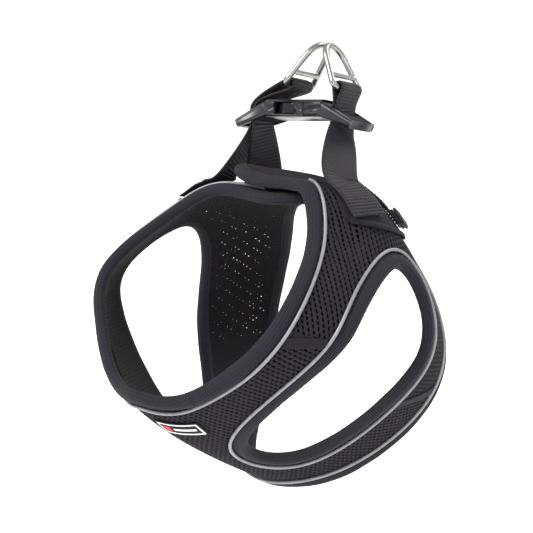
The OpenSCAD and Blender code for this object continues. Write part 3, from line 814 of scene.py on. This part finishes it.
# Frame of the buckle and rings, as in the CAD source
TOP_AT = SEAT + np.array([0, 26, 178])
YAW, PITCH = math.radians(12), math.radians(-12)
YAWED = np.array([[math.cos(YAW), -math.sin(YAW), 0], [math.sin(YAW), math.cos(YAW), 0], [0, 0, 1]])
PITCHED = np.array([[1, 0, 0], [0, math.cos(PITCH), -math.sin(PITCH)], [0, math.sin(PITCH), math.cos(PITCH)]])
TOP = YAWED @ PITCHED
WEB_W, WEB_T, ROD_D, BAR_X, BAR_Z = 20.0, 1.6, 3.2, 14.5, 12.0
PATCH_LOW, PATCH_T = PANEL_T / 2 + 0.35, 0.8
WEB_LIFT = PATCH_LOW + PATCH_T + 0.2 + WEB_T / 2
TAB_LOW = WEB_LIFT + WEB_T / 2 + 0.1               # the folded tab lies on the rear foot
PLY = WEB_T / 2 + 0.15
LOOP_R = ROD_D / 2 + 0.35 + WEB_T / 2
FOOT_U = {NEAR: 4.86, FAR: 4.72}
FRONT_V, REAR_V = 0.36, 0.76
FRONT_REACH = {NEAR: 0.27, FAR: 0.38}
REAR_REACH = {NEAR: 0.44, FAR: 0.38}
LAID_PARTS = (0, 0.4, 0.75, 1)                     # where a foot's control points lie
WRAP_POINTS = 9
SELVAGE = 1.4                                      # smooth edge of the webbing, beside its ribs


def on_top(p):
    """A point of the frame that the buckle and rings stand in."""
    return TOP_AT + TOP @ np.asarray(p, float)


def strap_path(half):
    """Centre points and across directions of one side's webbing."""
    s = SIDE[half]
    slot = (14, 0, -2) if half == NEAR else (-33.9, 0, -6.1)
    wrap = (-20, 200) if half == NEAR else (52, 242)

    def laid(reach, v, part):
        at = np.array([FOOT_U[half] - 0.3 + (reach + 0.3) * part, v])
        return surface(half, at, np.array(WEB_LIFT)) + np.array([0, 0, 1.5 * (part == 1)])

    in_slot = lambda d, k: on_top((slot[0] + s * k * PLY, 0, slot[2] + d))
    outer = [laid(FRONT_REACH[half], FRONT_V, part) for part in LAID_PARTS]
    inner = [laid(REAR_REACH[half], REAR_V, part) for part in LAID_PARTS[::-1]]
    around = [on_top((s * (BAR_X + LOOP_R * math.cos(a)), 0, BAR_Z + LOOP_R * math.sin(a)))
              for a in np.radians(np.linspace(*wrap, WRAP_POINTS))]
    hung = [in_slot(-5.5, 1), in_slot(6.5, 1)] + around + [in_slot(6.5, -1), in_slot(-5.5, -1)]
    beside = lambda v, step: surface(half, np.array([FOOT_U[half], v + step]))
    edge = lambda v: s * unit(beside(v, 0.05) - beside(v, -0.05))
    across = ([edge(FRONT_V)] * len(outer) + [s * (TOP @ np.array([0, 1, 0]))] * len(hung)
              + [edge(REAR_V)] * len(inner))
    return np.array(outer + hung + inner), np.array(across)


def smoothed(points, step):
    """Centripetal Catmull-Rom through the points, at even steps; also their fractional index."""
    p = np.concatenate([[2 * points[0] - points[1]], points, [2 * points[-1] - points[-2]]])
    out, index = [], []
    for i in range(len(points) - 1):
        a, b, c, d = p[i:i + 4]
        t = np.cumsum([0] + [max(np.linalg.norm(y - x), 1e-6) ** 0.5 for x, y in ((a, b), (b, c), (c, d))])
        x = np.linspace(t[1], t[2], 24, endpoint=i == len(points) - 2)[:, None]
        mix = lambda q, r, lo, hi: q * (hi - x) / (hi - lo) + r * (x - lo) / (hi - lo)
        ab, bc, cd = mix(a, b, t[0], t[1]), mix(b, c, t[1], t[2]), mix(c, d, t[2], t[3])
        abc, bcd = mix(ab, bc, t[0], t[2]), mix(bc, cd, t[1], t[3])
        out.append(mix(abc, bcd, t[1], t[2]))
        index.append(i + (x[:, 0] - t[1]) / (t[2] - t[1]))
    out, index = np.concatenate(out), np.concatenate(index)
    rows, at = resampled(np.concatenate([out, index[:, None]], 1), along(out), step)
    return rows[:, :3], rows[:, 3], at


def webbing(half):
    """One side's strap: ribbed tape from its front foot through buckle and ring to its rear foot."""
    points, across = strap_path(half)
    centre, index, at = smoothed(points, 0.3)
    side = np.stack([np.interp(index, np.arange(len(across)), across[:, k]) for k in range(3)], -1)
    tangent = unit(np.gradient(centre, axis=0))
    side = unit(side - (side * tangent).sum(1)[:, None] * tangent)
    face = np.cross(side, tangent)
    columns = 15
    x = np.concatenate([np.linspace(-1, 1, columns), np.linspace(1, -1, columns)]) * WEB_W / 2
    sign = np.repeat([1.0, -1.0], columns)
    body = np.sqrt(np.clip(1 - (np.abs(x) / (WEB_W / 2 + 0.15)) ** 24, 0, 1)) * WEB_T / 2
    ribbed = np.abs(x) < WEB_W / 2 - SELVAGE
    rib = 0.5 - 0.5 * np.cos(2 * math.pi * at / RIB_PITCH)
    height = sign * (body[None] - np.where(ribbed, 0.45, 0.12)[None] * (1 - rib[:, None] ** 0.7))
    rings = centre[:, None] + side[:, None] * x[None, :, None] + face[:, None] * height[..., None]
    around = np.append(x, x[0]) + WEB_W
    uv = np.stack(np.meshgrid(at, around, indexing="ij"), -1)
    obj = ring_mesh(f"{half}_strap_webbing", rings, uv, WEBBING)
    done(obj, half, "webbing", f"{half}_webbing")


def strap_patch(half):
    """The patch under both feet, with a hem roll along its upper edge."""
    u = FOOT_U[half]
    field = rectangle((u - 0.42, FRONT_V - 0.16), (u + REAR_REACH[half] + 0.06, REAR_V + 0.12), 48, 30)
    patch = slab(f"{half}_strap_patch_cloth", half, field, PATCH_LOW, PATCH_T, PATCH, 1.0)
    done(patch, half, "tape", f"{half}_strap_patch")
    hem_line = np.linspace((u - 0.4, FRONT_V - 0.14), (u - 0.4, REAR_V + 0.1), 60)
    section = ellipse(3.2, 1.7, 14)
    hem = roll(f"{half}_strap_patch_hem", half, hem_line, 1, 0, PATCH_LOW + PATCH_T, section, TAPE)
    done(hem, half, "tape")


def strap_folds(half):
    """The rear foot's end, folded twice into a tab."""
    u = FOOT_U[half]
    for k in range(2):
        field = rectangle((u - 0.33 - 0.02 * k, REAR_V - 0.115), (u - 0.14, REAR_V + 0.115), 26, 24)
        fold = slab(f"{half}_strap_fold_{k + 1}", half, field, TAB_LOW + 1.45 * k, 1.35, WEBBING, 0.9)
        done(fold, half, "webbing", *([f"{half}_strap_tab"] if k else []))


def boxed(half, v, low, high, width):
    """The four sides of a sewn box, from low to high past the foot and width to each side of v."""
    a, b = FOOT_U[half] + low, FOOT_U[half] + high
    sides = (((a, v - width), (a, v + width)), ((b, v - width), (b, v + width)),
             ((a, v - width), (b, v - width)), ((a, v + width), (b, v + width)))
    return [np.linspace(*ends, 30) for ends in sides]


for half in (NEAR, FAR):
    webbing(half)
    strap_patch(half)
    strap_folds(half)
    stitches(f"{half}_front_foot_stitches", half, boxed(half, FRONT_V, -0.28, -0.06, 0.085),
             WEB_LIFT + WEB_T / 2 - 0.05)
    stitches(f"{half}_rear_foot_stitches", half, boxed(half, REAR_V, -0.3, -0.19, 0.065), TAB_LOW + 2.68)

# Hook and loop between the flaps
PILE_FIELD, PILE_T = rectangle((5.75, 0.32), (6.25, 0.68), 24, 24), 0.9
LOOP_LOW, HOOK_LOW = PANEL_T / 2 + 0.35, -4.7
loop = slab("loop_pile_patch", FAR, PILE_FIELD, LOOP_LOW, PILE_T, LOOP, 0.6)
done(loop, FAR, "fastener", "loop_patch")
hook = slab("hook_pile_patch", NEAR, PILE_FIELD, HOOK_LOW, PILE_T, LOOP, 0.6)
done(hook, NEAR, "fastener", "hook_patch")


# Woven label on the chest: plain frame, bar and spot, placed by shares of its length and width
LABEL_CORNERS = np.array([[(0.09, 0.24), (0.05, 0.375)], [(0.66, 0.32), (0.59, 0.445)]])
LABEL_LOW = PANEL_T / 2 + 0.3


def label_piece(name, lo, hi, low, thick, material, *nodes):
    """A piece between two corners that are shares of the label's length and width."""
    share = rectangle(lo, hi, 26, 16)
    a, b = share[..., :1], share[..., 1:]
    c = LABEL_CORNERS
    columns = (c[0, 0] * (1 - a) + c[1, 0] * a) * (1 - b) + (c[0, 1] * (1 - a) + c[1, 1] * a) * b
    done(slab(name, WHOLE, columns, low, thick, material, 0.3), WHOLE, "label", *nodes)


label_piece("chest_label_cloth", (0, 0), (1, 1), LABEL_LOW, 0.6, LABEL_BLACK, "chest_label")
for word, lo, hi, cloth in (
    ("frame_left", (0.04, 0.1), (0.075, 0.9), LABEL_WHITE),
    ("frame_right", (0.925, 0.1), (0.96, 0.9), LABEL_WHITE),
    ("frame_front", (0.04, 0.1), (0.96, 0.18), LABEL_WHITE),
    ("frame_back", (0.04, 0.82), (0.96, 0.9), LABEL_WHITE),
    ("bar", (0.36, 0.46), (0.86, 0.6), LABEL_WHITE),
    ("spot", (0.13, 0.34), (0.29, 0.7), LABEL_RED),
):
    label_piece(f"chest_label_{word}", lo, hi, LABEL_LOW + 0.35, 0.45, cloth)


# Carried-over CAD hardware, with its edges and joints softened
def modifier(obj, name, kind, **settings):
    added = obj.modifiers.new(name, kind)
    for key, value in settings.items():
        setattr(added, key, value)


def hardware(node, material):
    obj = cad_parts[node]
    obj.data.materials.clear()
    obj.data.materials.append(material)
    modifier(obj, "weld", "WELD", merge_threshold=0.02 * MM)
    if material is NICKEL:
        modifier(obj, "cast_in_one", "REMESH", mode="VOXEL", voxel_size=0.3 * MM, use_smooth_shade=True)
        modifier(obj, "soft_joints", "SMOOTH", factor=0.5, iterations=8)
    else:
        modifier(obj, "soft_edges", "BEVEL", width=0.5 * MM, segments=3, limit_method="ANGLE",
                 angle_limit=math.radians(32))
    obj.data.polygons.foreach_set("use_smooth", [True] * len(obj.data.polygons))


for node, material in (
    ("near_ring", NICKEL), ("far_ring", NICKEL), ("buckle_socket", BUCKLE), ("buckle_plug", BUCKLE),
    ("buckle_arm_front", ARM), ("buckle_arm_rear", ARM),
):
    hardware(node, material)

# ---------------------------------------------------------------- studio
FLOOR_Z, FLOOR_REACH = -0.09, 6
corners = [(x * FLOOR_REACH, y * FLOOR_REACH, FLOOR_Z) for x, y in ((-1, -1), (1, -1), (1, 1), (-1, 1))]
floor_mesh = bpy.data.meshes.new("floor")
floor_mesh.from_pydata(corners, [], [(0, 1, 2, 3)])
floor = bpy.data.objects.new("floor", floor_mesh)
bpy.context.scene.collection.objects.link(floor)
floor_mat, _, floor_shader = nodes_of("pale_floor", (0.97, 0.97, 0.97), 0.9, Emission_Color=(1, 1, 1, 1),
                                      Emission_Strength=0.4)
floor_mesh.materials.append(floor_mat)

world = bpy.data.worlds.new("studio")
bpy.context.scene.world = world
world.use_nodes = True
sky = world.node_tree.nodes["Background"]
sky.inputs["Color"].default_value = (1, 1, 1, 1)
sky.inputs["Strength"].default_value = 0.8


def area_light(name, place, size, power):
    """A square lamp that points at the vest."""
    data = bpy.data.lights.new(name, "AREA")
    data.energy, data.size, data.shape = power, size, "SQUARE"
    lamp = bpy.data.objects.new(name, data)
    lamp.location = place
    lamp.rotation_mode = "QUATERNION"
    lamp.rotation_quaternion = (Vector(AIM) - Vector(place)).to_track_quat("-Z", "Y")
    bpy.context.scene.collection.objects.link(lamp)


AIM = SEAT * MM + np.array([0, 0, 0.1])
area_light("key", (-0.3, -0.9, 1.1), 0.6, 24)
area_light("fill", (1.3, -0.6, 0.7), 1.0, 10)
area_light("back", (0.3, 1.3, 1.2), 0.9, 14)

# The camera stands 44 degrees to the right of the front and 13 degrees above
AZIMUTH, ELEVATION, DISTANCE = math.radians(44), math.radians(13), 0.85
back = Vector((math.sin(AZIMUTH) * math.cos(ELEVATION), -math.cos(AZIMUTH) * math.cos(ELEVATION),
               math.sin(ELEVATION)))
cam = bpy.data.objects.new("camera", bpy.data.cameras.new("camera"))
bpy.context.scene.collection.objects.link(cam)
cam.data.lens, cam.data.sensor_width = 112.5, 36
cam.data.shift_x, cam.data.shift_y = -0.0338, 0.0022
cam.rotation_mode = "QUATERNION"
cam.rotation_quaternion = (-back).to_track_quat("-Z", "Y")
cam.location = Vector(AIM) + back * DISTANCE
bpy.context.scene.camera = cam
bpy.context.scene.view_settings.view_transform = "Standard"
